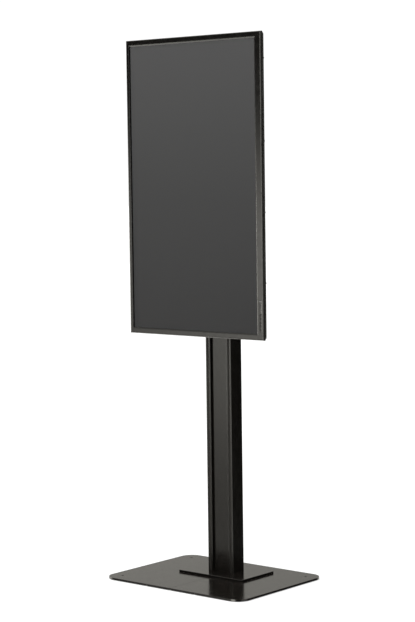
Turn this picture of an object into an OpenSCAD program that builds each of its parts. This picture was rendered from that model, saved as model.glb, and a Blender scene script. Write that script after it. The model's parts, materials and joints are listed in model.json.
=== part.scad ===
// Upright touch display on a column stand with a two-part steel base plate.
// Origin: middle of the base, on the floor. The screen faces -Y, up is +Z, +X is the viewer's right.

/* [Base] */
// Width of the whole base, left to right
base_w = 655; // [620:5:700]
// Depth of the base, front to back
base_d = 495; // [470:5:540]
// Thickness of the base plates and of the foot plate
plate_t = 8; // [7:1:10]
// Radius of the base corners
base_corner_r = 50; // [30:5:60]
// Radius of the floor fixing holes
floor_hole_r = 4.5; // [3.5:0.5:5.5]
// Thickness of the rubber floor pads
pad_t = 1.5; // [1:0.5:3]
// Width of the foot plate
foot_w = 300; // [290:5:320]
// Depth of the foot plate
foot_d = 190; // [185:5:220]

/* [Column] */
// Width of the column
column_w = 120; // [118:1:126]
// Depth of the column
column_d = 63; // [60:1:64]
// Length of the column profile
column_len = 1780; // [1740:10:1800]
// Distance of the column's middle behind the middle of the base
column_y = 73; // [71:1:76]
// Depth of the front face of a cover strip behind the column's face
strip_recess = 9; // [7:1:10]

/* [Display] */
// Width of the display housing
display_w = 637; // [632:1:644]
// Height of the display housing
display_h = 1085; // [1081:1:1091]
// Height of the lower edge of the display above the floor
display_bottom = 908; // [880:1:930]
// Distance of the display's front face in front of the middle of the base
display_reach = 88; // [86:1:92]
// Bezel face on the left
bezel_left = 15.5; // [15:0.5:17]
// Bezel face on the right, where the controls are
bezel_right = 27.5; // [27:0.5:29]
// Bezel face at the top and at the bottom
bezel_end = 19; // [19:1:21]
// Radius of the rounded front edges of the bezel
bezel_edge_r = 4; // [2:0.5:5]
// Depth of the whole display housing
display_d = 70; // [68:1:72]

/* [Mount] */
// Distance between the display's four mounting points, both ways
mount_pitch = 400; // [380:10:420]
// How far the carriage can slide down from the position shown
drop_travel = 150; // [100:10:160]

/* [Controls] */
// Free travel of a control key
key_travel = 0.6; // [0.4:0.1:0.7]
// Half of the swing of the mains rocker
rocker_swing = 9; // [6:1:10]

/* [Hidden] */
$fn = 48;

// Heights of the stacked plates
base_z = pad_t;
foot_z = base_z + plate_t;
column_z = foot_z + plate_t;
column_top = column_z + column_len;
display_z = display_bottom + display_h / 2;

// Base
seam = 1;
pad_r = 15;
pad_rows = [-base_d / 2 + 50, base_d / 2 - 50];
pad_columns = [60, base_w / 2 - 95];
notch_r = 3;
notch_x = 115;
floor_hole_x = base_w / 2 - 50;
floor_hole_y = base_d / 2 - 50;
base_screw_x = [35, foot_w / 2 - 20];
base_screw_y = foot_d / 2 - 19;
foot_chamfer = 0.8;

// Screws: M8 with a flat head, shank a close fit in its tapped hole
m8_r = 3.95;
m8_tap_r = 4;
m8_clear_r = 4.4;
m8_flat_r = 8;
m8_flat_h = m8_flat_r - m8_r;
socket_r = 2.9;

// Column cross-section, measured from the column's own axis
flange_w = 21.5;
channel_w = column_w - 2 * flange_w;
column_edge_r = 1.5;
web_t = 3;
slot_w = 9;
slot_lip = 3;
slot_room_w = 14;
slot_room_d = 6;
strip_t = 2;
ledge = 2;
chamber_h = 18;
channel_wall = 2.5;
flange_x = column_w / 2 - flange_w / 2;
column_screw_y = 14;
web_hole_w = 40;
web_hole_z = [column_z + 40, column_z + 100];
cap_t = 4;
grommet_z = column_z + 70;
grommet_r = 17;
grommet_wall = 3;

// Mount, from the column forward to the display's back
slide_gap = 0.3;
column_front = column_y - column_d / 2;
carriage_t = 8;
carriage_w = 160;
carriage_h = 300;
carriage_back = column_front - slide_gap;
carriage_front = carriage_back - carriage_t;
carriage_bolt_z = 60;
nut_len = 25;
bolt_head_r = 6.5;
bolt_head_h = 8;
rail_z = 120;
rail_h = 60;
rail_t = 3;
rail_depth = 23.7;
rail_lip = 25;
rail_bolt_x = 60;
rail_head_h = 5;
display_back = -display_reach + display_d;
arm_x = mount_pitch / 2;
arm_w = 40;
arm_t = 2.5;
arm_d = 26;
arm_h = 460;
rail_len = mount_pitch + arm_w + 10;
hook_t = 5.7;
hook_top = 15;
hook_drop = 17;
tab_z = display_z - rail_z - rail_h / 2 - 16;
tab_reach = 19.5;
lock_screw_y = display_back + arm_d + 8;
lock_knob_h = 6;
m6_r = 2.95;
m6_tap_r = 3;
m6_clear_r = 3.3;
m6_head_r = 5;
m6_socket_r = 2.3;
m6_knob_r = 8;

// Display layers, as depths behind the front face
face_t = 2;
bezel_side_t = 2;
bezel_d = 10.5;
lip_w = 3.9;
lip_d = [0.4, 3.4];
sensor_d = [2.2, 3.4];
glass_d = [3.5, 7.5];
gasket_d = [7.5, 8.7];
frame_d = [8.7, 16.8];
cell_d = [9.8, 11.6];
mid_d = [11.7, 16.6];
sheets_d = [12.4, 13.2];
guide_d = [13.3, 16.3];
reflector_d = [16.35, 16.65];
chassis_d = [16.8, 17.8];
bracket_d = [17.8, 30];
board_d = [40, 41.6];
visible_gap = 0.1;
glass_lap = 6.5;
visible_x = [-display_w / 2 + bezel_left + lip_w + visible_gap,
             display_w / 2 - bezel_right - lip_w - visible_gap];
visible_z = [display_bottom + bezel_end + lip_w + visible_gap,
             display_bottom + display_h - bezel_end - lip_w - visible_gap];
panel_rim = 5.5;

// Rear cover
cover_t = 2;
cover_edge_d = 17;
cover_slope_d = 38;
cover_inset = 60;
cover_corner_r = 13;
cover_slope = (cover_slope_d - cover_edge_d) / cover_inset;
side_wall_x = display_w / 2 - cover_inset;
case_screw_inset = 6.5;
case_screw_r = 1.95;
case_tap_r = 2;
case_boss_r = 3.2;
case_head_r = 3.8;
case_seat_r = 5;
seat_d = 20.5;
mount_boss_r = 8;
vent_w = 3.5;
vent_pitch = 12;
vent_count = 30;
vent_len = 60;
vent_rows = [-400, 400];
case_screws = concat(
    [for (z = [-450, -150, 150, 450]) [-display_w / 2 + case_screw_inset, display_z + z]],
    [for (z = [-340, -90, 160, 450]) [display_w / 2 - case_screw_inset, display_z + z]],
    [for (x = [-200, 0, 200], side = [-1, 1])
        [x, display_z + side * (display_h / 2 - case_screw_inset - 2)]]);

// Circuit boards: [low x, high x, low z, high z]
power_area = [-150, 30, display_z - 270, display_z - 60];
main_area = [70, 246, display_z - 50, display_z + 150];
timing_area = [-110, 60, display_z + 190, display_z + 270];
touch_area = [-180, -90, display_z - 380, display_z - 320];
board_inset = 5;
post_r = 2.5;
board_screw_r = 1.45;
board_tap_r = 1.5;
board_corners = [for (a = [power_area, main_area, timing_area, touch_area],
                      x = [a[0] + board_inset, a[1] - board_inset],
                      z = [a[2] + board_inset, a[3] - board_inset]) [x, z]];

// Sockets in the right-hand wall of the rear cover
inlet_z = display_z - 140;
inlet_d = 54;
inlet_size = [27, 20];
inlet_flange = [31, 24];
inlet_room = [24, 16.8];
inlet_depth = 16;
inlet_flange_t = 2.5;
inlet_body = 24;
switch_z = inlet_z + 32;
switch_size = [19, 13];
switch_room = [16.4, 10.6];
switch_flange = [22, 16];
pivot_x = side_wall_x - 2;
pivot_r = 1.2;
pivot_bore_r = 1.25;
// Each signal socket: [height from the display's middle, length, width]
sockets = [[-22, 31, 12], [15, 15, 6], [39, 15, 6], [64, 17, 7], [89, 12, 11], [112, 12, 11]];

// Controls in the lower part of the right-hand bezel, as offsets from the display's corner
strip_x = display_w / 2 - 15;
strip_size = [9, 112];
strip_z = display_bottom + 30;
key_size = [5, 9];
key_gap = 0.3;
key_pitch = 13;
first_key_z = display_bottom + 38;
key_proud = 0.4;
key_stem_d = face_t + 3.1;
plunger_d = key_stem_d + key_travel + key_gap;
control_switch_d = plunger_d + 0.4;
receiver_z = display_bottom + 119;
receiver_len = 28;
light_z = display_bottom + 138;
control_board_d = [10, 11.6];
plunger_r = 1.5;
strip_foot_t = 1.2;
window_half = 1.75;
light_size = [8, 1.6];
window_fit = 0.1;

// A box from its low and high limits along each axis
module block(x, y, z) {
    translate([x[0], y[0], z[0]]) cube([x[1] - x[0], y[1] - y[0], z[1] - z[0]]);
}

// A box in the display, with d as the depth behind the front face
module slab(x, d, z) {
    block(x, [d[0] - display_reach, d[1] - display_reach], z);
}

// A flat outline drawn in Y and Z, drawn out along X
module along_x(x) {
    translate([x[0], 0, 0]) rotate([90, 0, 90]) linear_extrude(x[1] - x[0]) children();
}

// A flat outline drawn in X and Z, drawn out along Y
module along_y(y) {
    translate([0, y[1], 0]) rotate([90, 0, 0]) linear_extrude(y[1] - y[0]) children();
}

// A round rod along Y
module rod_y(r, x, y, z) {
    translate([x, y[0], z]) rotate([-90, 0, 0]) cylinder(r = r, h = y[1] - y[0]);
}

// A round rod in the display, with d as the depth behind the front face
module rod_d(r, x, d, z) {
    rod_y(r, x, [d[0] - display_reach, d[1] - display_reach], z);
}

module rounded_rect(w, h, r) {
    square([w - 2 * r, h], center = true);
    square([w, h - 2 * r], center = true);
    for (x = [-1, 1], y = [-1, 1])
        translate([x * (w / 2 - r), y * (h / 2 - r)]) circle(r);
}

// A flat rectangular ring in the display around the visible area
module ring(inner, outer, d) {
    difference() {
        slab([visible_x[0] - outer, visible_x[1] + outer], d, [visible_z[0] - outer, visible_z[1] + outer]);
        slab([visible_x[0] - inner, visible_x[1] + inner], [d[0] - 1, d[1] + 1],
             [visible_z[0] - inner, visible_z[1] + inner]);
    }
}

// A flat sheet in the display, larger than the visible area by grow on each side
module sheet(grow, d) {
    slab([visible_x[0] - grow, visible_x[1] + grow], d, [visible_z[0] - grow, visible_z[1] + grow]);
}

// A flat-head screw that points up, with a hexagon socket in its underside
module flat_screw(len) {
    difference() {
        union() {
            cylinder(r1 = m8_flat_r, r2 = m8_r, h = m8_flat_h);
            translate([0, 0, m8_flat_h]) cylinder(r = m8_r, h = len - m8_flat_h);
        }
        translate([0, 0, -1]) cylinder(r = socket_r, h = 3, $fn = 6);
    }
}

// The countersunk hole that such a screw fills
module flat_hole(t) {
    translate([0, 0, -0.01]) cylinder(r1 = m8_flat_r + 0.2, r2 = m8_r + 0.2, h = m8_flat_h);
    cylinder(r = m8_clear_r, h = t + 1);
}

module at_base_screws() {
    for (x = base_screw_x, side = [-1, 1], end = [-1, 1])
        translate([side * x, column_y + end * base_screw_y, 0]) children();
}

module at_column_screws() {
    for (side = [-1, 1], end = [-1, 1])
        translate([side * flange_x, column_y + end * column_screw_y, 0]) children();
}

// ---- Stand ----

module base_half(side) {
    difference() {
        translate([0, 0, base_z]) linear_extrude(plate_t) intersection() {
            rounded_rect(base_w, base_d, base_corner_r);
            translate([side * (base_w / 2 + seam / 2), 0]) square([base_w, base_d + 2], center = true);
        }
        for (y = [-floor_hole_y, floor_hole_y])
            translate([side * floor_hole_x, y, 0]) cylinder(r = floor_hole_r, h = 20);
        for (x = [0, side * notch_x])
            translate([x, -base_d / 2, 0]) cylinder(r = notch_r, h = 20);
        at_base_screws() translate([0, 0, base_z]) flat_hole(plate_t);
    }
}

module base_plate_left() {
    color("#5a5855") base_half(-1);
}

module base_plate_right() {
    color("#555350") base_half(1);
}

module floor_pads() {
    color("#1c1c1c")
        for (side = [-1, 1], x = pad_columns, y = pad_rows)
            translate([side * x, y, 0]) cylinder(r = pad_r, h = pad_t);
}

// Side outline of a plate on the base, with its upper edges chamfered
module foot_outline(half) {
    c = foot_chamfer;
    polygon([[-half, foot_z], [half, foot_z], [half, column_z - c], [half - c, column_z],
             [-half + c, column_z], [-half, column_z - c]]);
}

module foot_plate() {
    color("#4a4845") difference() {
        intersection() {
            along_x([-foot_w / 2, foot_w / 2]) translate([column_y, 0]) foot_outline(foot_d / 2);
            along_y([column_y - foot_d / 2, column_y + foot_d / 2]) foot_outline(foot_w / 2);
        }
        at_base_screws() translate([0, 0, foot_z - 1]) cylinder(r = m8_tap_r, h = plate_t - 0.5);
        at_column_screws() translate([0, 0, foot_z]) flat_hole(plate_t);
    }
}

module base_screws() {
    color("#777777") at_base_screws() translate([0, 0, base_z]) flat_screw(plate_t + 5);
}

module column_screws() {
    color("#777777") at_column_screws() translate([0, 0, foot_z]) flat_screw(plate_t + 22);
}

// One T-shaped slot, with its mouth on the column's front face
module slot_outline() {
    translate([-slot_w / 2, -column_d / 2 - 1]) square([slot_w, slot_lip + 1.5]);
    translate([-slot_room_w / 2, -column_d / 2 + slot_lip]) square([slot_room_w, slot_room_d]);
}

module column_outline() {
    difference() {
        rounded_rect(column_w, column_d, column_edge_r);
        for (end = [0, 1]) mirror([0, end]) {
            translate([-channel_w / 2, web_t / 2]) square([channel_w, column_d]);
            for (side = [-1, 1]) translate([side * flange_x, 0]) slot_outline();
        }
        for (side = [-1, 1], end = [-1, 1])
            translate([side * flange_x, end * column_screw_y]) circle(m8_tap_r);
        for (side = [-1, 1])
            translate([side * flange_x, 0])
                square([flange_w - 2 * channel_wall, chamber_h], center = true);
    }
    // Ledges that the cover strips rest on
    for (side = [-1, 1], end = [-1, 1])
        translate([side * (channel_w / 2 - ledge / 2 + 0.1),
                   end * (column_d / 2 - strip_recess - strip_t - ledge / 2)])
            square([ledge + 0.2, ledge], center = true);
}

module column_profile() {
    color("#2b2a28") difference() {
        translate([0, column_y, column_z]) linear_extrude(column_len) column_outline();
        block([-web_hole_w / 2, web_hole_w / 2], [column_y - web_t, column_y + web_t], web_hole_z);
    }
}

// A cover strip with two snap legs, for the front channel
module cover_strip(z) {
    gap = 0.3;
    leg_t = 1.5;
    leg_x = channel_w / 2 - ledge - gap - leg_t;
    face_y = -column_d / 2 + strip_recess;
    translate([0, 0, z[0]]) linear_extrude(z[1] - z[0]) {
        translate([-channel_w / 2 + gap, face_y]) square([channel_w - 2 * gap, strip_t]);
        for (x = [-leg_x - leg_t, leg_x])
            translate([x, face_y + strip_t - 0.1]) square([leg_t, 5]);
    }
}

front_strip_top = display_z - carriage_h / 2 - drop_travel - 15;

module front_cover_strip() {
    color("#3a3936") translate([0, column_y, 0]) cover_strip([column_z + 0.3, front_strip_top]);
}

module rear_cover_strip() {
    color("#3a3936") difference() {
        translate([0, column_y, 0]) rotate([0, 0, 180]) cover_strip([column_z + 0.3, column_top - 0.3]);
        rod_y(grommet_r, 0, [column_y + 5, column_y + column_d], grommet_z);
    }
}

// Inlay that closes one slot: a face in the mouth and a wider foot behind the lips
module slot_cover(z) {
    face_w = slot_w - 0.4;
    foot = [slot_room_w - 1, 1.5];
    sunk = 0.5;
    translate([0, 0, z[0]]) linear_extrude(z[1] - z[0]) {
        translate([-face_w / 2, -column_d / 2 + sunk]) square([face_w, slot_lip]);
        translate([-foot[0] / 2, -column_d / 2 + slot_lip + 0.1]) square(foot);
    }
}

module slot_covers() {
    color("#222120") for (side = [-1, 1]) translate([side * flange_x, column_y, 0]) {
        slot_cover([column_z + 0.3, front_strip_top]);
        rotate([0, 0, 180]) slot_cover([column_z + 0.3, column_top - 0.3]);
    }
}

module cable_grommet() {
    strip_back = column_y + column_d / 2 - strip_recess;
    bore_r = grommet_r - grommet_wall;
    lip = 3;
    color("#151515") difference() {
        union() {
            rod_y(grommet_r - 0.1, 0, [strip_back - strip_t - lip, strip_back + lip], grommet_z);
            for (y = [strip_back - strip_t - lip, strip_back])
                rod_y(grommet_r + lip, 0, [y, y + lip], grommet_z);
        }
        rod_y(bore_r, 0, [strip_back - 20, strip_back + 20], grommet_z);
    }
}

module column_top_cap() {
    color("#2b2a28") difference() {
        translate([0, column_y, column_top]) linear_extrude(cap_t)
            rounded_rect(column_w, column_d, column_edge_r);
        at_column_screws() translate([0, 0, column_top - 1]) cylinder(r = m8_clear_r, h = cap_t + 2);
    }
}

module cap_screws() {
    head_h = 3;
    color("#333333") at_column_screws() difference() {
        translate([0, 0, column_top - 20]) union() {
            cylinder(r = m8_r, h = 20 + cap_t);
            translate([0, 0, 20 + cap_t]) cylinder(r = bolt_head_r, h = head_h);
        }
        translate([0, 0, column_top + cap_t + 1]) cylinder(r = socket_r, h = head_h, $fn = 6);
    }
}

// ---- Mount ----

module at_carriage_bolts() {
    for (side = [-1, 1], end = [-1, 1])
        translate([side * flange_x, 0, display_z + end * carriage_bolt_z]) children();
}

module at_rail_bolts() {
    for (side = [-1, 1], end = [-1, 1])
        translate([side * rail_bolt_x, 0, display_z + end * rail_z]) children();
}

module at_mount_points() {
    for (side = [-1, 1], end = [-1, 1])
        translate([side * mount_pitch / 2, 0, display_z + end * mount_pitch / 2]) children();
}

module mount_carriage() {
    color("#262524") difference() {
        block([-carriage_w / 2, carriage_w / 2], [carriage_front, carriage_back],
              [display_z - carriage_h / 2, display_z + carriage_h / 2]);
        at_carriage_bolts() rod_y(m8_clear_r, 0, [0, column_front], 0);
        at_rail_bolts() rod_y(m8_tap_r, 0, [0, column_front], 0);
    }
}

module slot_nuts() {
    slot_y = column_front + slot_lip;
    color("#8a8a88") at_carriage_bolts() difference() {
        block([-slot_room_w / 2 + slide_gap, slot_room_w / 2 - slide_gap],
              [slot_y + slide_gap, slot_y + slot_room_d - slide_gap], [-nut_len / 2, nut_len / 2]);
        rod_y(m8_tap_r, 0, [slot_y - 1, slot_y + slot_room_d + 1], 0);
    }
}

module carriage_bolts() {
    tip = column_front + slot_lip + slot_room_d - 0.6;
    color("#333333") at_carriage_bolts() difference() {
        union() {
            rod_y(m8_r, 0, [carriage_front, tip], 0);
            rod_y(bolt_head_r, 0, [carriage_front - bolt_head_h, carriage_front], 0);
        }
        translate([0, carriage_front - bolt_head_h - 1, 0]) rotate([-90, 0, 0])
            cylinder(r = socket_r, h = 5, $fn = 6);
    }
}

// Hook rail: upright web, lower flange and a front lip that the arms hang on
module hook_rails() {
    back = carriage_front;
    front = back - rail_depth;
    low = -rail_h / 2;
    profile = [[back, low], [back, -low], [back - rail_t, -low], [back - rail_t, low + rail_t],
               [front + rail_t, low + rail_t], [front + rail_t, low + rail_lip],
               [front, low + rail_lip], [front, low]];
    color("#262524") difference() {
        for (end = [-1, 1]) translate([0, 0, display_z + end * rail_z])
            along_x([-rail_len / 2, rail_len / 2]) polygon(profile);
        at_rail_bolts() rod_y(m8_clear_r, 0, [0, column_front], 0);
    }
}

module rail_bolts() {
    seat = carriage_front - rail_t;
    color("#333333") at_rail_bolts() difference() {
        union() {
            rod_y(m8_r, 0, [seat, carriage_back - 1], 0);
            rod_y(bolt_head_r, 0, [seat - rail_head_h, seat], 0);
        }
        translate([0, seat - rail_head_h - 1, 0]) rotate([-90, 0, 0])
            cylinder(r = socket_r, h = 3.5, $fn = 6);
    }
}

// Side plate of an arm, with a hook over each rail and a tab under the lower rail
module arm_side_outline() {
    front = display_back;
    back = display_back + arm_d;
    lip_front = carriage_front - rail_depth;
    finger = lip_front + rail_t + 0.3;
    translate([front, display_z - arm_h / 2]) square([arm_d, arm_h]);
    for (end = [-1, 1]) translate([0, display_z + end * rail_z - rail_h / 2 + rail_lip]) {
        translate([back - 0.5, 0]) square([finger + hook_t - back + 0.5, hook_top]);
        translate([finger, -hook_drop]) square([hook_t, hook_drop + 3]);
    }
    translate([back - 0.5, tab_z]) square([tab_reach + 0.5, 10]);
}

module mount_arm(x) {
    inner = arm_w / 2 - arm_t;
    color("#262524") difference() {
        translate([x, 0, 0]) {
            for (side = [0, 1]) mirror([side, 0, 0])
                along_x([inner, arm_w / 2]) arm_side_outline();
            block([-inner - 0.1, inner + 0.1], [display_back, display_back + arm_t],
                  [display_z - arm_h / 2, display_z + arm_h / 2]);
            block([-inner - 0.1, inner + 0.1], [display_back + arm_d - 6, display_back + arm_d + tab_reach],
                  [tab_z, tab_z + arm_t]);
        }
        at_mount_points() rod_y(m6_clear_r, 0, [display_back - 1, display_back + arm_t + 1], 0);
        translate([x, lock_screw_y, tab_z - 1]) cylinder(r = m6_tap_r, h = 6);
    }
}

module mount_arm_left() {
    mount_arm(-arm_x);
}

module mount_arm_right() {
    mount_arm(arm_x);
}

module display_screws() {
    head_h = 4;
    seat = display_back + arm_t;
    color("#555555") at_mount_points() difference() {
        union() {
            rod_y(m6_r, 0, [seat - 24, seat], 0);
            rod_y(m6_head_r, 0, [seat, seat + head_h], 0);
        }
        translate([0, seat + 1.5, 0]) rotate([-90, 0, 0]) cylinder(r = m6_socket_r, h = head_h, $fn = 6);
    }
}

module arm_lock_screws() {
    len = 24;
    rail_low = display_z - rail_z - rail_h / 2;
    color("#555555") for (x = [-arm_x, arm_x]) translate([x, lock_screw_y, rail_low - len]) {
        cylinder(r = m6_r, h = len);
        translate([0, 0, -lock_knob_h]) cylinder(r = m6_knob_r, h = lock_knob_h);
    }
}

// ---- Display front and panel ----

// The housing block in front of depth d, with its front edges rounded
module rounded_front(d) {
    half_w = display_w / 2;
    r = bezel_edge_r;
    intersection() {
        translate([0, 0, display_bottom]) linear_extrude(display_h) {
            translate([-half_w, r - display_reach]) square([display_w, d - r]);
            translate([-half_w + r, -display_reach]) square([display_w - 2 * r, r + 1]);
            for (x = [-half_w + r, half_w - r]) translate([x, r - display_reach]) circle(r);
        }
        along_x([-half_w, half_w]) {
            translate([r - display_reach, display_bottom]) square([d - r, display_h]);
            translate([-display_reach, display_bottom + r]) square([r + 1, display_h - 2 * r]);
            for (z = [display_bottom + r, display_bottom + display_h - r])
                translate([r - display_reach, z]) circle(r);
        }
    }
}

module front_bezel() {
    half_w = display_w / 2;
    low = display_bottom;
    high = display_bottom + display_h;
    side = bezel_side_t;
    color("#44423f") difference() {
        union() {
            difference() {
                rounded_front(bezel_d);
                slab([-half_w + side, half_w - side], [face_t, bezel_d + 1], [low + side, high - side]);
            }
            for (p = case_screws) rod_d(case_boss_r, p[0], [face_t - 0.1, 14], p[1]);
            for (z = [strip_z - 6, strip_z + strip_size[1] + 6])
                rod_d(3, strip_x, [face_t - 0.1, control_board_d[0]], z);
        }
        slab([-half_w + bezel_left, half_w - bezel_right], [-1, face_t + 1],
             [low + bezel_end, high - bezel_end]);
        for (p = case_screws) rod_d(case_tap_r, p[0], [5, 15], p[1]);
        slab([strip_x - strip_size[0] / 2 - 0.1, strip_x + strip_size[0] / 2 + 0.1], [-1, face_t + 1],
             [strip_z - 0.1, strip_z + strip_size[1] + 0.1]);
    }
}

// Frame of dark filter plastic whose face slopes from the bezel down to the glass
module touch_filter_frame() {
    foot = 0.2;
    function flare(limits) = [[lip_d[0] - display_reach, limits[0] - lip_w],
                              [lip_d[0] - display_reach, limits[1] + lip_w],
                              [lip_d[1] - foot - display_reach, limits[1]],
                              [lip_d[1] + 1 - display_reach, limits[1]],
                              [lip_d[1] + 1 - display_reach, limits[0]],
                              [lip_d[1] - foot - display_reach, limits[0]]];
    color("#141313") difference() {
        sheet(lip_w, lip_d);
        intersection() {
            along_x([visible_x[0] - 10, visible_x[1] + 10]) polygon(flare(visible_z));
            translate([0, 0, visible_z[0] - 10]) linear_extrude(visible_z[1] - visible_z[0] + 20)
                polygon([for (p = flare(visible_x)) [p[1], p[0]]]);
        }
    }
}

module touch_sensor_boards() {
    board_w = 3.6;
    end_gap = 0.3;
    low = lip_w + 0.4;
    high = low + board_w;
    tall = [visible_z[0] - high, visible_z[1] + high];
    color("#1f5a35") {
        slab([visible_x[0] - high, visible_x[0] - low], sensor_d, tall);
        slab([visible_x[1] + low, visible_x[1] + high], sensor_d, tall);
        for (z = [visible_z[0] - high, visible_z[1] + low])
            slab([visible_x[0] - low + end_gap, visible_x[1] + low - end_gap], sensor_d, [z, z + board_w]);
    }
}

module touch_glass() {
    color("#4b4b4b") sheet(glass_lap, glass_d);
}

module glass_gasket() {
    color("#101010") ring(0.8, 4.5, gasket_d);
}

module panel_front_frame() {
    color("#6d6d6a") {
        ring(0.2, panel_rim, [frame_d[0], frame_d[0] + 1]);
        ring(panel_rim - 1, panel_rim, frame_d);
    }
}

module lcd_cell() {
    color("#303133") sheet(panel_rim - 1.8, cell_d);
}

module panel_mid_frame() {
    color("#1a1a1a") {
        ring(panel_rim - 2.4, panel_rim - 1.2, mid_d);
        ring(0.2, panel_rim - 1.2, [mid_d[0], mid_d[0] + 0.6]);
    }
}

module optical_sheets() {
    color("#e4e4e2") sheet(0.9, sheets_d);
}

module light_guide() {
    color("#d9e2e4") sheet(1, guide_d);
}

module reflector_sheet() {
    color("#f2f2f0") sheet(1, reflector_d);
}

module led_bars() {
    color("#d8d2a0") for (x = [visible_x[0] - 2.8, visible_x[1] + 1.3])
        slab([x, x + 1.5], [12.6, 16.4], [visible_z[0] + 2, visible_z[1] - 2]);
}

module panel_chassis() {
    color("#9a9c9c") sheet(panel_rim, chassis_d);
}

// Two upright channels across the chassis, with the threaded mounting bosses
module chassis_brackets() {
    half = 15;
    skin = 1.5;
    color("#a3a5a5") difference() {
        union() {
            for (x = [-arm_x, arm_x]) difference() {
                slab([x - half, x + half], bracket_d, [display_z - 300, display_z + 300]);
                slab([x - half + skin, x + half - skin], [bracket_d[0] - 1, bracket_d[1] - skin],
                     [display_z - 301, display_z + 301]);
            }
            at_mount_points() rod_d(mount_boss_r, 0, [bracket_d[1] - 0.1, display_d], 0);
        }
        at_mount_points() rod_d(m6_tap_r, 0, [display_d - 26, display_d + 1], 0);
    }
}

// ---- Electronics ----

// A bare circuit board over an area, with holes for its screws
module bare_board(area) {
    difference() {
        slab([area[0], area[1]], board_d, [area[2], area[3]]);
        for (x = [area[0] + board_inset, area[1] - board_inset],
             z = [area[2] + board_inset, area[3] - board_inset])
            rod_d(board_screw_r + 0.2, x, [board_d[0] - 1, board_d[1] + 1], z);
    }
}

// A part on a board: a block that stands height above it
module board_part(x, z, height) {
    slab(x, [board_d[1] - 0.1, board_d[1] + height], z);
}

module power_board() {
    x = power_area[0];
    z = power_area[2];
    color("#3b6b3a") {
        bare_board(power_area);
        board_part([x + 30, x + 65], [z + 60, z + 105], 18);
        board_part([x + 95, x + 101], [z + 30, z + 150], 16);
        for (i = [0:3]) rod_d(8, x + 30 + 22 * i, [board_d[1] - 0.1, 62], z + 175);
        board_part([x + 160, x + 175], [inlet_z - 12, inlet_z + 12], 16);
    }
}

module main_board() {
    x = main_area[0];
    z = main_area[2];
    color("#245c3a") {
        bare_board(main_area);
        board_part([x + 40, x + 85], [z + 70, z + 115], 3);
        for (i = [0:8]) board_part([x + 41 + 5 * i, x + 43 + 5 * i], [z + 70, z + 115], 14);
        board_part([x + 105, x + 125], [z + 60, z + 80], 2);
        board_part([x + 12, x + 24], [z + 20, z + 50], 8);
    }
}

module timing_board() {
    x = timing_area[0];
    z = timing_area[2];
    color("#2a5f46") {
        bare_board(timing_area);
        board_part([x + 50, x + 120], [z + 20, z + 60], 4);
    }
}

module touch_controller() {
    x = touch_area[0];
    z = touch_area[2];
    color("#2a5f46") {
        bare_board(touch_area);
        board_part([x + 30, x + 50], [z + 20, z + 40], 2);
    }
}

module board_standoffs() {
    color("#b8a35c") for (p = board_corners) difference() {
        rod_d(post_r, p[0], [chassis_d[1], board_d[0]], p[1]);
        rod_d(board_tap_r, p[0], [board_d[0] - 9, board_d[0] + 1], p[1]);
    }
}

module board_screws() {
    color("#999999") for (p = board_corners) {
        rod_d(board_screw_r, p[0], [board_d[0] - 7, board_d[1] + 0.1], p[1]);
        rod_d(2.8, p[0], [board_d[1], board_d[1] + 1.8], p[1]);
    }
}

// A wire of straight stretches through a list of points, in display depths
module wire(points, r) {
    for (i = [0:len(points) - 2]) {
        a = points[i];
        b = points[i + 1];
        along = [for (k = [0:2]) b[k] - a[k]];
        length = norm(along);
        translate([a[0], a[1] - display_reach, a[2]])
            rotate([0, acos(along[2] / length), atan2(along[1], along[0])])
                cylinder(r = r, h = length);
    }
    if (len(points) > 2)
        for (i = [1:len(points) - 2])
            translate([points[i][0], points[i][1] - display_reach, points[i][2]]) sphere(r);
}

module internal_wiring() {
    r = 1.5;
    inlet_back = side_wall_x - inlet_body;
    low_d = 46;
    power_plug_x = power_area[0] + 175;
    main_plug_x = main_area[0] + 18;
    color("#a03020") {
        for (z = [-7, 7]) wire([[power_plug_x, inlet_d, inlet_z + z], [inlet_back, inlet_d, inlet_z + z]], r);
        wire([[main_plug_x, low_d, main_area[2] + 20], [main_plug_x, low_d, main_area[2] - 40],
              [power_plug_x - 30, low_d, main_area[2] - 40],
              [power_plug_x - 30, board_d[1] + 0.4, main_area[2] - 40]], r);
        wire([[main_plug_x, low_d, main_area[2] + 50], [main_plug_x, low_d, timing_area[2] + 30],
              [timing_area[1] - 15, low_d, timing_area[2] + 30],
              [timing_area[1] - 15, board_d[1], timing_area[2] + 30]], r);
    }
}

module speakers() {
    size = [100, 60];
    z = display_z - 465;
    color("#202020") for (x = [-205, 105]) difference() {
        slab([x, x + size[0]], [chassis_d[1], 56], [z, z + size[1]]);
        rod_d(22, x + size[0] / 2, [50, 57], z + size[1] / 2);
    }
}

// Metal socket shell facing right, with a contact block inside
module signal_socket(z, length, width) {
    shell = 0.8;
    gap = 2;
    low_d = board_d[1];
    board_lap = 8;
    x = [main_area[1] - board_lap, side_wall_x + 1];
    difference() {
        slab(x, [low_d, low_d + width], [z - length / 2, z + length / 2]);
        slab([x[0] + 3, x[1] + 1], [low_d + shell, low_d + width - shell],
             [z - length / 2 + shell, z + length / 2 - shell]);
    }
    slab([x[0] + 2, x[1] - 1.5], [low_d + gap, low_d + width - gap],
         [z - length / 2 + gap, z + length / 2 - gap]);
}

module signal_sockets() {
    color("#a8a8a6") for (s = sockets) signal_socket(display_z + s[0] + 5, s[1], s[2]);
}

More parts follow.
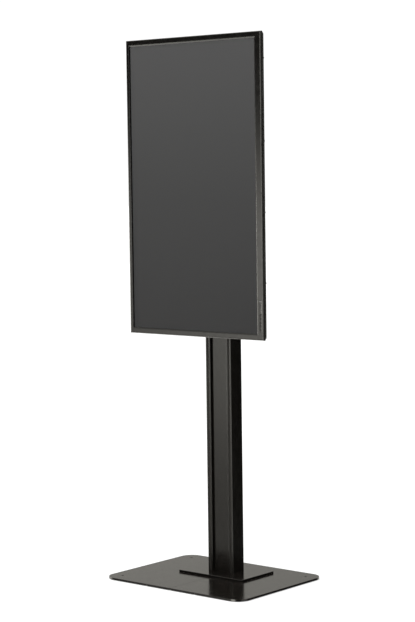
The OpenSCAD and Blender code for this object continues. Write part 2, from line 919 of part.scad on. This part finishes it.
module mains_inlet() {
    x0 = side_wall_x;
    half = inlet_size / 2;
    flange = inlet_flange / 2;
    room = inlet_room / 2;
    pin = [2, 4] / 2;
    // Each pin: [height, depth] from the middle of the inlet
    pins = [[-7, -2], [7, -2], [0, 2]];
    color("#161616") difference() {
        union() {
            slab([x0 - inlet_body, x0 + 0.1], [inlet_d - half[1], inlet_d + half[1]],
                 [inlet_z - half[0], inlet_z + half[0]]);
            slab([x0, x0 + inlet_flange_t], [inlet_d - flange[1], inlet_d + flange[1]],
                 [inlet_z - flange[0], inlet_z + flange[0]]);
        }
        slab([x0 + inlet_flange_t - inlet_depth, x0 + 5], [inlet_d - room[1], inlet_d + room[1]],
             [inlet_z - room[0], inlet_z + room[0]]);
    }
    color("#b0b0ae") for (p = pins)
        slab([x0 + inlet_flange_t - inlet_depth - 0.5, x0 - 0.5],
             [inlet_d + p[1] - pin[1], inlet_d + p[1] + pin[1]],
             [inlet_z + p[0] - pin[0], inlet_z + p[0] + pin[0]]);
}

module switch_frame() {
    body_depth = 16;
    room_depth = 11;
    bore_end = 0.3;
    x0 = side_wall_x;
    half = switch_size / 2;
    flange = switch_flange / 2;
    room = switch_room / 2;
    color("#161616") difference() {
        union() {
            slab([x0 - body_depth, x0 + 0.1], [inlet_d - half[1], inlet_d + half[1]],
                 [switch_z - half[0], switch_z + half[0]]);
            slab([x0, x0 + 2], [inlet_d - flange[1], inlet_d + flange[1]],
                 [switch_z - flange[0], switch_z + flange[0]]);
        }
        slab([x0 - room_depth, x0 + 5], [inlet_d - room[1], inlet_d + room[1]],
             [switch_z - room[0], switch_z + room[0]]);
        rod_d(pivot_bore_r, pivot_x, [inlet_d - half[1] + bore_end, inlet_d + half[1] - bore_end], switch_z);
    }
}

module switch_rocker() {
    wing = 7;
    half = switch_room[1] / 2 - key_gap;
    axle = switch_size[1] / 2 - 0.5;
    // Shallow V outside and a hub inside, in X and Z about the pivot
    outline = [[4.5, -wing], [3.4, 0], [4.5, wing], [1, wing], [-3, 2], [-3, -2], [1, -wing]];
    color("#111111") translate([pivot_x, inlet_d - display_reach, switch_z]) rotate([0, -rocker_swing, 0]) {
        along_y([-half, half]) polygon(outline);
        rod_y(pivot_r, 0, [-axle, axle], 0);
    }
}

// Half of the rear cover's section: straight edge, slope, upright wall and back
function cover_outline(half, inward, front_d) =
    let (drop = inward * (sqrt(1 + cover_slope * cover_slope) - cover_slope),
         rim = half - inward,
         wall = half - cover_inset - inward,
         back = display_d - inward)
    [[-rim, front_d], [-rim, cover_edge_d - drop], [-wall, cover_slope_d - drop], [-wall, back],
     [wall, back], [wall, cover_slope_d - drop], [rim, cover_edge_d - drop], [rim, front_d]];

module cover_body(inward, front_d) {
    intersection() {
        translate([0, 0, display_bottom]) linear_extrude(display_h)
            polygon([for (p = cover_outline(display_w / 2, inward, front_d)) [p[0], p[1] - display_reach]]);
        along_x([-display_w / 2, display_w / 2])
            polygon([for (p = cover_outline(display_h / 2, inward, front_d))
                [p[1] - display_reach, p[0] + display_z]]);
        along_y([-display_reach, display_back]) translate([0, display_z])
            rounded_rect(display_w - 2 * inward, display_h - 2 * inward, cover_corner_r - inward);
    }
}

module rear_cover() {
    hole_gap = 0.3;
    fit = 0.2;
    wall = [side_wall_x - cover_t - 1, side_wall_x + 1];
    first_vent = -vent_pitch * (vent_count - 1) / 2;
    color("#232322") difference() {
        union() {
            difference() {
                cover_body(0, bezel_d);
                cover_body(cover_t, bezel_d - 1);
            }
            // Seats for the case screws on the slope
            for (p = case_screws) rod_d(case_seat_r, p[0], [cover_edge_d + hole_gap, seat_d], p[1]);
        }
        for (p = case_screws) {
            rod_d(case_tap_r + hole_gap, p[0], [0, seat_d + 1], p[1]);
            rod_d(case_head_r + hole_gap, p[0], [seat_d, seat_d + 4], p[1]);
        }
        at_mount_points() rod_d(mount_boss_r + hole_gap, 0, [display_d - 5, display_d + 1], 0);
        for (i = [0:vent_count - 1], row = vent_rows) {
            x = first_vent + i * vent_pitch;
            z = display_z + row;
            slab([x - vent_w / 2, x + vent_w / 2], [display_d - 5, display_d + 1],
                 [z - vent_len / 2, z + vent_len / 2]);
        }
        for (s = sockets)
            slab(wall, [board_d[1] - fit, board_d[1] + s[2] + fit],
                 [display_z + s[0] + 5 - s[1] / 2 - fit, display_z + s[0] + 5 + s[1] / 2 + fit]);
        slab(wall, [inlet_d - inlet_size[1] / 2 - fit, inlet_d + inlet_size[1] / 2 + fit],
             [inlet_z - inlet_size[0] / 2 - fit, inlet_z + inlet_size[0] / 2 + fit]);
        slab(wall, [inlet_d - switch_size[1] / 2 - fit, inlet_d + switch_size[1] / 2 + fit],
             [switch_z - switch_size[0] / 2 - fit, switch_z + switch_size[0] / 2 + fit]);
    }
}

module rear_cover_screws() {
    color("#2a2a2a") for (p = case_screws) {
        rod_d(case_screw_r, p[0], [6, seat_d + 0.1], p[1]);
        rod_d(case_head_r, p[0], [seat_d, seat_d + 2.2], p[1]);
    }
}

// ---- Controls ----

// Height of the middle of key number i, counted from the bottom
function key_z(i) = first_key_z + key_pitch * i;

module control_strip() {
    half = strip_size[0] / 2;
    edge = 2;
    hole = key_size / 2 + [key_gap, key_gap];
    color("#2f2d2b") difference() {
        union() {
            slab([strip_x - half, strip_x + half], [0.15, face_t + 0.1], [strip_z, strip_z + strip_size[1]]);
            slab([strip_x - half - edge, strip_x + half + edge], [face_t, face_t + strip_foot_t],
                 [strip_z - edge, strip_z + strip_size[1] + edge]);
        }
        for (i = [0:4])
            slab([strip_x - hole[0], strip_x + hole[0]], [-1, 5], [key_z(i) - hole[1], key_z(i) + hole[1]]);
        slab([strip_x - window_half, strip_x + window_half], [-1, 5],
             [receiver_z - receiver_len / 2, receiver_z + receiver_len / 2]);
        slab([strip_x - light_size[0] / 2, strip_x + light_size[0] / 2], [-1, 5],
             [light_z - light_size[1] / 2, light_z + light_size[1] / 2]);
    }
}

module receiver_window() {
    half = [window_half - window_fit, receiver_len / 2 - window_fit];
    color("#120c0c") slab([strip_x - half[0], strip_x + half[0]], [0.1, face_t + strip_foot_t],
                          [receiver_z - half[1], receiver_z + half[1]]);
}

module status_light() {
    half = light_size / 2 - [window_fit, window_fit];
    color("#b9b8b0") slab([strip_x - half[0], strip_x + half[0]], [0.1, face_t + strip_foot_t],
                          [light_z - half[1], light_z + half[1]]);
}

module control_board() {
    switch_half = 3;
    color("#245c3a") {
        slab([strip_x - 5, strip_x + 6], control_board_d, [strip_z - 10, strip_z + strip_size[1] + 10]);
        for (i = [0:4]) {
            slab([strip_x - switch_half, strip_x + switch_half],
                 [control_switch_d, control_board_d[0] + 0.1],
                 [key_z(i) - switch_half, key_z(i) + switch_half]);
            rod_d(plunger_r, strip_x, [plunger_d, control_switch_d + 0.1], key_z(i));
        }
        slab([strip_x - 2.5, strip_x + 2.5], [face_t + 1.6, control_board_d[0] + 0.1],
             [receiver_z - 4, receiver_z + 4]);
    }
}

// Key cap that stands slightly proud, with a retaining flange and a stem
module key(i) {
    half = key_size / 2;
    flange = 1;
    stem = 1.5;
    flange_front = face_t + strip_foot_t + key_gap;
    color("#383634") translate([strip_x, 0, key_z(i)]) {
        slab([-half[0], half[0]], [-key_proud, flange_front + 0.1], [-half[1], half[1]]);
        slab([-half[0] - flange, half[0] + flange], [flange_front, flange_front + 1],
             [-half[1] - flange, half[1] + flange]);
        slab([-stem, stem], [flange_front + 0.9, key_stem_d], [-stem, stem]);
    }
}

module key_source() { key(0); }
module key_down() { key(1); }
module key_up() { key(2); }
module key_menu() { key(3); }
module key_power() { key(4); }

base_plate_left();
base_plate_right();
floor_pads();
foot_plate();
base_screws();
column_screws();
column_profile();
front_cover_strip();
rear_cover_strip();
slot_covers();
cable_grommet();
column_top_cap();
cap_screws();
mount_carriage();
slot_nuts();
carriage_bolts();
hook_rails();
rail_bolts();
mount_arm_left();
mount_arm_right();
display_screws();
arm_lock_screws();
front_bezel();
touch_filter_frame();
touch_sensor_boards();
touch_glass();
glass_gasket();
lcd_cell();
panel_front_frame();
panel_mid_frame();
optical_sheets();
light_guide();
reflector_sheet();
led_bars();
panel_chassis();
chassis_brackets();
power_board();
main_board();
timing_board();
touch_controller();
board_standoffs();
board_screws();
internal_wiring();
speakers();
signal_sockets();
mains_inlet();
switch_frame();
switch_rocker();
rear_cover();
rear_cover_screws();
control_strip();
receiver_window();
status_light();
control_board();
key_power();
key_menu();
key_up();
key_down();
key_source();
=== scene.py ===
import json
import math

import bpy
from mathutils import Matrix, Vector


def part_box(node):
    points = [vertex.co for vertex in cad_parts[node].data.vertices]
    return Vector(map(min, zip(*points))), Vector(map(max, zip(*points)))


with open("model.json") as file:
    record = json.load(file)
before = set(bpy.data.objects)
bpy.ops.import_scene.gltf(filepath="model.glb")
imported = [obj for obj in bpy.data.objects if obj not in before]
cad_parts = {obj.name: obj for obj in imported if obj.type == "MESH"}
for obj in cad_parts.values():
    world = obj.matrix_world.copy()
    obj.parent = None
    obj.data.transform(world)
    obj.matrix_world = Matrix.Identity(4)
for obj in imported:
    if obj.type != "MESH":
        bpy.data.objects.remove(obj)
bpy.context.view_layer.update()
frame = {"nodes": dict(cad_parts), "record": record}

SCENE = bpy.context.scene
NODES = frame["nodes"]


# ---------------------------------------------------------------- node helpers

# Cosine between the flat and the rounded normal where a worn edge begins, and where it is fully worn
WEAR_START, WEAR_FULL = 0.995, 0.86
# The part of a noise texture's range that holds nearly all of its values
NOISE_LOW, NOISE_HIGH = 0.3, 0.7


class Graph:
    """A material's node tree, with short calls for the nodes used here."""

    def __init__(self, name):
        self.mat = bpy.data.materials.new(name)
        self.mat.use_nodes = True
        self.tree = self.mat.node_tree
        self.tree.nodes.clear()
        out = self.add("ShaderNodeOutputMaterial")
        self.bsdf = self.add("ShaderNodeBsdfPrincipled")
        self.link(self.bsdf.outputs["BSDF"], out.inputs["Surface"])
        self.coords = self.add("ShaderNodeTexCoord").outputs["Object"]

    def add(self, kind, **props):
        node = self.tree.nodes.new(kind)
        for key, value in props.items():
            setattr(node, key, value)
        return node

    def link(self, a, b):
        self.tree.links.new(a, b)

    def put(self, socket, value):
        if isinstance(value, bpy.types.NodeSocket):
            self.link(value, socket)
        else:
            socket.default_value = value

    def set(self, **sockets):
        """Fills the shader's sockets, named with _ for each space."""
        for key, value in sockets.items():
            self.put(self.bsdf.inputs[key.replace("_", " ")], value)

    def stretched(self, scale):
        """Object coordinates, scaled along each axis."""
        node = self.add("ShaderNodeMapping")
        self.link(self.coords, node.inputs["Vector"])
        node.inputs["Scale"].default_value = scale
        return node.outputs["Vector"]

    def axis(self, name):
        node = self.add("ShaderNodeSeparateXYZ")
        self.link(self.coords, node.inputs["Vector"])
        return node.outputs[name]

    def noise(self, scale, detail=3.0, vector=None):
        node = self.add("ShaderNodeTexNoise")
        self.link(vector or self.coords, node.inputs["Vector"])
        node.inputs["Scale"].default_value = scale
        node.inputs["Detail"].default_value = detail
        node.inputs["Roughness"].default_value = 0.55
        return node.outputs["Fac"]

    def cells(self, scale, vector=None):
        node = self.add("ShaderNodeTexVoronoi", feature="F1")
        self.link(vector or self.coords, node.inputs["Vector"])
        node.inputs["Scale"].default_value = scale
        return node.outputs["Distance"]

    def span(self, value, start, end, low, high):
        """value from start to end, spread from low to high and held outside."""
        node = self.add("ShaderNodeMapRange", clamp=True)
        self.put(node.inputs["Value"], value)
        for key, v in (("From Min", start), ("From Max", end), ("To Min", low), ("To Max", high)):
            node.inputs[key].default_value = v
        return node.outputs["Result"]

    def wander(self, texture, low, high):
        """A noise texture's value, spread from low to high."""
        return self.span(texture, NOISE_LOW, NOISE_HIGH, low, high)

    def math(self, op, a, b=0.0):
        node = self.add("ShaderNodeMath", operation=op)
        self.put(node.inputs[0], a)
        self.put(node.inputs[1], b)
        return node.outputs["Value"]

    def mix(self, factor, a, b):
        node = self.add("ShaderNodeMix", data_type="RGBA")
        for socket, value in zip((node.inputs[0], node.inputs[6], node.inputs[7]), (factor, a, b)):
            self.put(socket, value)
        return node.outputs[2]

    def ramp(self, value, stops):
        node = self.add("ShaderNodeValToRGB")
        self.link(value, node.inputs["Fac"])
        fill_ramp(node.color_ramp.elements, stops)
        return node.outputs["Color"]

    def bump(self, height, strength, distance, normal=None):
        node = self.add("ShaderNodeBump")
        self.link(height, node.inputs["Height"])
        node.inputs["Strength"].default_value = strength
        node.inputs["Distance"].default_value = distance
        if normal is not None:
            self.link(normal, node.inputs["Normal"])
        return node.outputs["Normal"]

    def rounded(self, radius):
        node = self.add("ShaderNodeBevel", samples=4)
        node.inputs["Radius"].default_value = radius
        return node.outputs["Normal"]

    def edges(self, radius):
        """1 at worn edges and 0 on flat faces."""
        bevel = self.rounded(radius)
        flat = self.add("ShaderNodeNewGeometry").outputs["Normal"]
        dot = self.add("ShaderNodeVectorMath", operation="DOT_PRODUCT")
        self.link(bevel, dot.inputs[0])
        self.link(flat, dot.inputs[1])
        return self.span(dot.outputs["Value"], WEAR_START, WEAR_FULL, 0.0, 1.0)


def fill_ramp(marks, stops):
    """Sets a colour ramp's marks, of which a new ramp has two, from places and colours."""
    for i, (place, colour) in enumerate(stops):
        mark = marks[i] if i < 2 else marks.new(place)
        mark.position = place
        mark.color = colour


def grey(v, warm=0.0):
    """A neutral colour of linear value v, a little warmer with warm."""
    return (v * (1 + warm), v, v * (1 - warm), 1.0)


def shaded(colour, factor):
    """A colour made darker or paler, with its alpha left at 1."""
    return tuple(c * factor for c in colour[:3]) + (1.0,)


# ---------------------------------------------------------------- materials

def powder_coat(name, value, roughness, warm, depth=0.00003, wear=0.5, round_r=0.0008):
    """Powder coat: fine orange peel, uneven gloss, faint blotches and paler edges."""
    g = Graph(name)
    grain, edge_r = 1400.0, 0.0012
    levels = (value * 0.88, value * 1.12, value * 1.5, value * 2.6 + 0.02)
    dark, pale, fleck, worn = (grey(v, warm) for v in levels)
    base = g.mix(g.wander(g.noise(5.0, 4.0), 0.0, 1.0), dark, pale)
    base = g.mix(g.span(g.noise(grain, 2.0), 0.45, 0.75, 0.0, 0.5), base, fleck)
    base = g.mix(g.math("MULTIPLY", g.edges(edge_r), wear), base, worn)
    rough = g.math("ADD", g.wander(g.noise(60.0, 5.0), -0.035, 0.035), roughness)
    peel = g.bump(g.noise(grain * 0.5), 0.35, depth, g.rounded(round_r))
    g.set(Base_Color=base, Roughness=rough, Normal=peel)
    return g.mat


def moulded(name, value, roughness, warm=0.0, grain=2200.0, depth=0.00002, level=0.5):
    """Moulded plastic with a fine spark-eroded grain; level is how strongly it reflects."""
    g = Graph(name)
    edge_r, wear = 0.0006, 0.35
    dark, pale, worn = (grey(v, warm) for v in (value * 0.9, value * 1.1, value * 1.8 + 0.01))
    base = g.mix(g.wander(g.noise(9.0), 0.0, 1.0), dark, pale)
    base = g.mix(g.math("MULTIPLY", g.edges(edge_r), wear), base, worn)
    rough = g.math("ADD", g.wander(g.noise(90.0), -0.04, 0.04), roughness)
    pits = g.bump(g.cells(grain), 0.3, depth, g.rounded(0.0004))
    g.set(Base_Color=base, Roughness=rough, Normal=pits, Specular_IOR_Level=level)
    return g.mat


def rubber(name, value):
    """Dull rubber or foam with a coarse skin."""
    g = Graph(name)
    base = g.mix(g.wander(g.noise(40.0, 4.0), 0.0, 1.0), grey(value * 0.8), grey(value * 1.3))
    rough = g.wander(g.noise(300.0), 0.7, 0.9)
    skin = g.bump(g.noise(1500.0), 0.4, 0.00004, g.rounded(0.0006))
    g.set(Base_Color=base, Roughness=rough, Normal=skin)
    return g.mat


def plated(name, colour, roughness):
    """Plated or bare metal with fine turning or rolling lines and a cloudy tint."""
    g = Graph(name)
    line_scale = (600.0, 600.0, 60.0)
    base = g.mix(g.wander(g.noise(35.0, 4.0), 0.0, 1.0), shaded(colour, 0.78), colour)
    brushed = g.noise(1.0, 2.0, vector=g.stretched(line_scale))
    rough = g.math("ADD", g.wander(brushed, -0.06, 0.08), roughness)
    lines = g.bump(brushed, 0.2, 0.00002, g.rounded(0.0004))
    g.set(Base_Color=base, Roughness=rough, Normal=lines, Metallic=1.0)
    return g.mat


def circuit(name, value):
    """Solder resist over faint copper tracks."""
    g = Graph(name)
    resist = (value, value * 5.0, value * 2.4, 1.0)
    over_copper = (value * 1.6, value * 7.5, value * 3.4, 1.0)
    track = g.cells(260.0, g.stretched((1.0, 1.0, 0.35)))
    base = g.mix(g.span(track, 0.25, 0.3, 0.0, 1.0), resist, over_copper)
    g.set(Base_Color=base, Roughness=g.wander(g.noise(200.0), 0.25, 0.4),
          Normal=g.bump(track, 0.3, 0.00003))
    return g.mat


# Height up the glass, from 0 to 1, with its grey there and its slightly stronger blue: the dark panel plus
# a painted reflection of the studio light, paler towards the top
SCREEN_PAINTED_REFLECTION = ((0.0, 0.042, 0.0435), (0.45, 0.069, 0.0705), (1.0, 0.118, 0.1195))


def screen_glass(name, low, high):
    """Switched-off touch screen: etched glass over a dark panel, with a painted reflection of the studio
    light that makes it paler towards the top.
    """
    g = Graph(name)
    # Painted reflection: the base colour grows paler up the glass, standing in for the studio light
    # reflected on it
    height = g.span(g.axis("Z"), low, high, 0.0, 1.0)
    base = g.ramp(height, [(place, (v, v, blue, 1.0)) for place, v, blue in SCREEN_PAINTED_REFLECTION])
    etched = g.noise(2600.0, 2.0)
    base = g.mix(g.span(etched, 0.35, 0.75, 0.0, 0.08), base, grey(0.12))
    smear = g.noise(3.0, 4.0, vector=g.stretched((1.0, 1.0, 0.35)))
    g.set(Base_Color=base, Roughness=g.wander(smear, 0.5, 0.58),
          Normal=g.bump(etched, 0.15, 0.00001), Specular_IOR_Level=0.12)
    return g.mat


def plain_film(name, colour):
    """Smooth plastic film or glass inside the display."""
    g = Graph(name)
    base = g.mix(g.wander(g.noise(12.0), 0.0, 1.0), shaded(colour, 0.95), colour)
    g.set(Base_Color=base, Roughness=g.wander(g.noise(120.0), 0.35, 0.5),
          Normal=g.bump(g.noise(900.0), 0.1, 0.00001))
    return g.mat


def make_finishes():
    """The material for each of the record's material slots."""
    glass_low, glass_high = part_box("touch_glass")
    return {
        "base_steel": powder_coat("base_coat", 0.006, 0.16, warm=0.15, wear=0.15, round_r=0.0006),
        "foot_steel": powder_coat("foot_coat", 0.005, 0.16, warm=0.15),
        "column_coat": powder_coat("column_coat", 0.007, 0.17, warm=0.15),
        "strip_coat": powder_coat("strip_coat", 0.008, 0.16, warm=0.15),
        "inlay_plastic": moulded("inlay_plastic", 0.012, 0.5, warm=0.1, level=0.12),
        "pad_rubber": rubber("pad_rubber", 0.02),
        "zinc_screws": plated("zinc_screws", (0.45, 0.45, 0.43, 1.0), 0.35),
        "black_screws": plated("black_screws", (0.05, 0.05, 0.052, 1.0), 0.4),
        "mount_steel": powder_coat("mount_coat", 0.02, 0.3, warm=0.1),
        "bezel_coat": powder_coat("bezel_coat", 0.004, 0.12, warm=0.15, depth=0.000004, wear=0.2,
                                  round_r=0.003),
        "filter_plastic": moulded("filter_plastic", 0.006, 0.1, grain=3000.0, depth=0.000002, level=0.3),
        "circuit_board": circuit("circuit_board", 0.02),
        "screen_glass": screen_glass("screen_glass", glass_low.z, glass_high.z),
        "foam": rubber("foam", 0.02),
        "lcd_dark": plain_film("lcd_dark", (0.05, 0.05, 0.052, 1.0)),
        "panel_steel": plated("panel_steel", (0.5, 0.5, 0.49, 1.0), 0.4),
        "frame_plastic": moulded("frame_plastic", 0.015, 0.5),
        "optical_film": plain_film("optical_film", (0.85, 0.85, 0.84, 1.0)),
        "clear_acrylic": plain_film("clear_acrylic", (0.8, 0.85, 0.85, 1.0)),
        "led_metal": plated("led_metal", (0.7, 0.68, 0.55, 1.0), 0.4),
        "standoff_brass": plated("standoff_brass", (0.75, 0.55, 0.2, 1.0), 0.3),
        "wire_sleeve": moulded("wire_sleeve", 0.05, 0.5, warm=0.8),
        "socket_metal": plated("socket_metal", (0.6, 0.6, 0.58, 1.0), 0.3),
        "socket_plastic": moulded("socket_plastic", 0.012, 0.42),
        "cover_coat": powder_coat("cover_coat", 0.014, 0.26, warm=0.1),
        "strip_plastic": moulded("strip_plastic", 0.008, 0.14, warm=0.15, depth=0.000004),
        "light_lens": moulded("light_lens", 0.5, 0.25),
        "key_plastic": moulded("key_plastic", 0.02, 0.4, warm=0.1, level=0.2),
    }


def paint_nodes():
    """Puts each node's finish on it."""
    finishes = make_finishes()
    for entry in frame["record"]["subparts"]:
        materials = NODES[entry["node"]].data.materials
        materials.clear()
        materials.append(finishes[entry["material_slot"]])


# ---------------------------------------------------------------- floor

# Half the floor's width in metres, so far that its edge lies at the horizon
FLOOR_HALF = 60.0
FLOOR_GREY = 0.6
# The floor's own light, and how far inside the base's outline it begins and is full
FLOOR_GLOW = 0.45
GLOW_BEGINS, GLOW_FULL = -0.018, -0.015


def make_floor():
    """Pale floor that glossy and diffuse rays pass by: only the world and the overhead light shine."""
    base_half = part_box("base_plate_right")[1]
    mesh = bpy.data.meshes.new("floor")
    corners = [(x * FLOOR_HALF, y * FLOOR_HALF, 0) for x, y in ((-1, -1), (1, -1), (1, 1), (-1, 1))]
    mesh.from_pydata(corners, [], [(0, 1, 2, 3)])
    floor = bpy.data.objects.new("floor", mesh)
    SCENE.collection.objects.link(floor)
    g = Graph("floor_paint")
    # A little of its own light keeps the ground white right up to the plates, but not under them
    x = g.math("SUBTRACT", g.math("ABSOLUTE", g.axis("X")), base_half.x)
    y = g.math("SUBTRACT", g.math("ABSOLUTE", g.axis("Y")), base_half.y)
    glow = g.span(g.math("MAXIMUM", x, y), GLOW_BEGINS, GLOW_FULL, 0.0, FLOOR_GLOW)
    g.set(Base_Color=grey(FLOOR_GREY), Roughness=0.9, Specular_IOR_Level=0.0,
          Emission_Color=grey(1.0), Emission_Strength=glow)
    mesh.materials.append(g.mat)
    floor.visible_glossy = False
    floor.visible_diffuse = False


# ---------------------------------------------------------------- world

# Brightness behind the object, and of the light that diffuse surfaces get from all round
SEEN_LIGHT = 1.05
DIFFUSE_LIGHT = 0.25
# What reflections show. Towards the front left it is brightness against the sine of the elevation.
# The ramp holds no more than 1, so it is divided by FRONT_GAIN there and multiplied again after it.
FRONT_GAIN = 4.0
FRONT_LIGHT = ((-0.5, 1.2), (-0.30, 1.4), (-0.20, 0.3), (-0.165, 0.35), (-0.12, 1.6), (-0.055, 3.1),
               (-0.015, 2.3), (0.02, 0.5), (0.055, 0.0), (0.4, 0.0))
# Each patch of light: its direction, the cosines where it begins and is full, and its brightness.
# A direction with no height is a heading, and counts at every elevation.
FACING_SCREEN = ((-0.5, -0.866, 0.0), 0.955, 0.995, 1.12)
FAR_LEFT = ((-0.98, -0.17, 0.0), 0.85, 0.98, 3.6)
STRAIGHT_AHEAD = ((-0.05, -1.0, 0.0), 0.92, 0.985, 5.5)
LEFT_WALL = ((-0.88, 0.47, 0.0), 0.6, 1.0, 0.60)
OVERHEAD = ((0.0, 0.0, 1.0), 0.4, 1.0, 2.2)
BEHIND = ((0.0, 1.0, 0.0), 0.86, 0.98, 1.1)
RIGHT_SIDE = ((1.0, 0.0, 0.0), 0.80, 0.97, 1.1)
REAR_FLOOR = ((0.3, 0.954, 0.0), -0.2, 0.3, 1.1)
# Sines of the elevation: where two of the patches begin and are full, and where the wall is brightest
AHEAD_BELOW = (0.7, 0.2)
REAR_FLOOR_BELOW = (-0.235, -0.33)
WALL_MIDDLE, WALL_SPREAD = 0.25, 0.28
# Least light in any reflection, and the colour of all of them
DARKEST = 0.012
WARM_WHITE = (1.0, 0.975, 0.90, 1.0)


def make_world():
    """White to the camera, dim to diffuse surfaces, and warm patches of light to glossy ones."""
    world = bpy.data.worlds.new("studio")
    SCENE.world = world
    world.use_nodes = True
    tree = world.node_tree
    tree.nodes.clear()

    def add(kind, **props):
        node = tree.nodes.new(kind)
        for key, value in props.items():
            setattr(node, key, value)
        return node

    def put(socket, value):
        if isinstance(value, bpy.types.NodeSocket):
            tree.links.new(value, socket)
        else:
            socket.default_value = value

    def math_node(op, a, b=0.0):
        node = add("ShaderNodeMath", operation=op)
        put(node.inputs[0], a)
        put(node.inputs[1], b)
        return node.outputs["Value"]

    def smooth(value, start, end):
        """From 0 at start to 1 at end, eased at both."""
        ramp = add("ShaderNodeMapRange", clamp=True, interpolation_type="SMOOTHSTEP")
        for key, v in (("Value", value), ("From Min", start), ("From Max", end)):
            put(ramp.inputs[key], v)
        return ramp.outputs["Result"]

    def bell(value, middle, width):
        x = math_node("DIVIDE", math_node("SUBTRACT", value, middle), width)
        return math_node("EXPONENT", math_node("MULTIPLY", math_node("MULTIPLY", x, x), -1.0))

    def patch(direction, start, end, brightness):
        node = add("ShaderNodeVectorMath", operation="DOT_PRODUCT")
        put(node.inputs[0], heading if direction[2] == 0.0 else ray)
        put(node.inputs[1], direction)
        return math_node("MULTIPLY", smooth(node.outputs["Value"], start, end), brightness)

    ray = add("ShaderNodeTexCoord").outputs["Generated"]
    level_part = add("ShaderNodeVectorMath", operation="MULTIPLY")
    put(level_part.inputs[0], ray)
    put(level_part.inputs[1], (1.0, 1.0, 0.0))
    unit = add("ShaderNodeVectorMath", operation="NORMALIZE")
    put(unit.inputs[0], level_part.outputs["Vector"])
    heading = unit.outputs["Vector"]
    split = add("ShaderNodeSeparateXYZ")
    put(split.inputs["Vector"], ray)
    up = split.outputs["Z"]

    level = add("ShaderNodeValToRGB")
    level.color_ramp.interpolation = "B_SPLINE"
    put(level.inputs["Fac"], math_node("ADD", up, 0.5))
    fill_ramp(level.color_ramp.elements, [(sine + 0.5, grey(v / FRONT_GAIN)) for sine, v in FRONT_LIGHT])
    sides = math_node("MAXIMUM", patch(*FACING_SCREEN), patch(*FAR_LEFT))
    glossy = math_node("MULTIPLY", math_node("MULTIPLY", sides, FRONT_GAIN), level.outputs["Color"])
    ahead = math_node("MULTIPLY", patch(*STRAIGHT_AHEAD), smooth(up, *AHEAD_BELOW))
    wall = math_node("MULTIPLY", patch(*LEFT_WALL), bell(up, WALL_MIDDLE, WALL_SPREAD))
    rear_floor = math_node("MULTIPLY", patch(*REAR_FLOOR), smooth(up, *REAR_FLOOR_BELOW))
    rear = math_node("MAXIMUM", math_node("MAXIMUM", patch(*BEHIND), patch(*RIGHT_SIDE)), rear_floor)
    for light in (wall, rear, ahead, patch(*OVERHEAD), DARKEST):
        glossy = math_node("ADD", glossy, light)

    path = add("ShaderNodeLightPath")
    soft = math_node("MULTIPLY", path.outputs["Is Diffuse Ray"], DIFFUSE_LIGHT)
    shiny = math_node("MULTIPLY", path.outputs["Is Glossy Ray"], glossy)
    seen = math_node("MULTIPLY", path.outputs["Is Camera Ray"], SEEN_LIGHT)
    tint = add("ShaderNodeMix", data_type="RGBA")
    put(tint.inputs[0], path.outputs["Is Glossy Ray"])
    put(tint.inputs[6], grey(1.0))
    put(tint.inputs[7], WARM_WHITE)
    background = add("ShaderNodeBackground")
    put(background.inputs["Color"], tint.outputs[2])
    put(background.inputs["Strength"], math_node("ADD", math_node("ADD", soft, shiny), seen))
    out = add("ShaderNodeOutputWorld")
    put(out.inputs["Surface"], background.outputs["Background"])


# ---------------------------------------------------------------- light and camera

# The overhead light's direction, its spread in degrees, and its strength
SKY_DIRECTION = (0.25, 0.25, -1.0)
SKY_SPREAD = 100.0
SKY_STRENGTH = 3.4

# The camera's place in metres, its yaw, pitch and roll in degrees, and its lens in millimetres
EYE = (4.2550, -5.0667, 1.4947)
CAMERA_TURN = (40.110, 4.310, 0.7625)
LENS = 104.592733


def make_sky_light():
    """A very large soft source far away, so the floor is evenly bright and shadows are faint."""
    data = bpy.data.lights.new("overhead", "SUN")
    data.angle = math.radians(SKY_SPREAD)
    data.energy = SKY_STRENGTH
    light = bpy.data.objects.new("overhead", data)
    SCENE.collection.objects.link(light)
    light.rotation_mode = "QUATERNION"
    light.rotation_quaternion = Vector(SKY_DIRECTION).to_track_quat("-Z", "Y")
    light.visible_glossy = False


def make_camera():
    """The photograph's viewing angle: from the right of the screen, a little above its middle."""
    yaw, pitch, roll = (math.radians(a) for a in CAMERA_TURN)
    forward = Vector((-math.sin(yaw) * math.cos(pitch), math.cos(yaw) * math.cos(pitch), -math.sin(pitch)))
    level = Vector((math.cos(yaw), math.sin(yaw), 0.0))
    down = forward.cross(level)
    right = level * math.cos(roll) + down * math.sin(roll)
    down = down * math.cos(roll) - level * math.sin(roll)
    data = bpy.data.cameras.new("camera")
    data.sensor_width = 36.0
    data.sensor_fit = "AUTO"
    data.lens = LENS
    data.clip_start, data.clip_end = 0.1, 100.0
    camera = bpy.data.objects.new("camera", data)
    SCENE.collection.objects.link(camera)
    columns = Matrix((right, -down, -forward)).transposed()
    camera.matrix_world = Matrix.Translation(Vector(EYE)) @ columns.to_4x4()
    SCENE.camera = camera


paint_nodes()
make_floor()
make_world()
make_sky_light()
make_camera()
SCENE.view_settings.view_transform = "Standard"
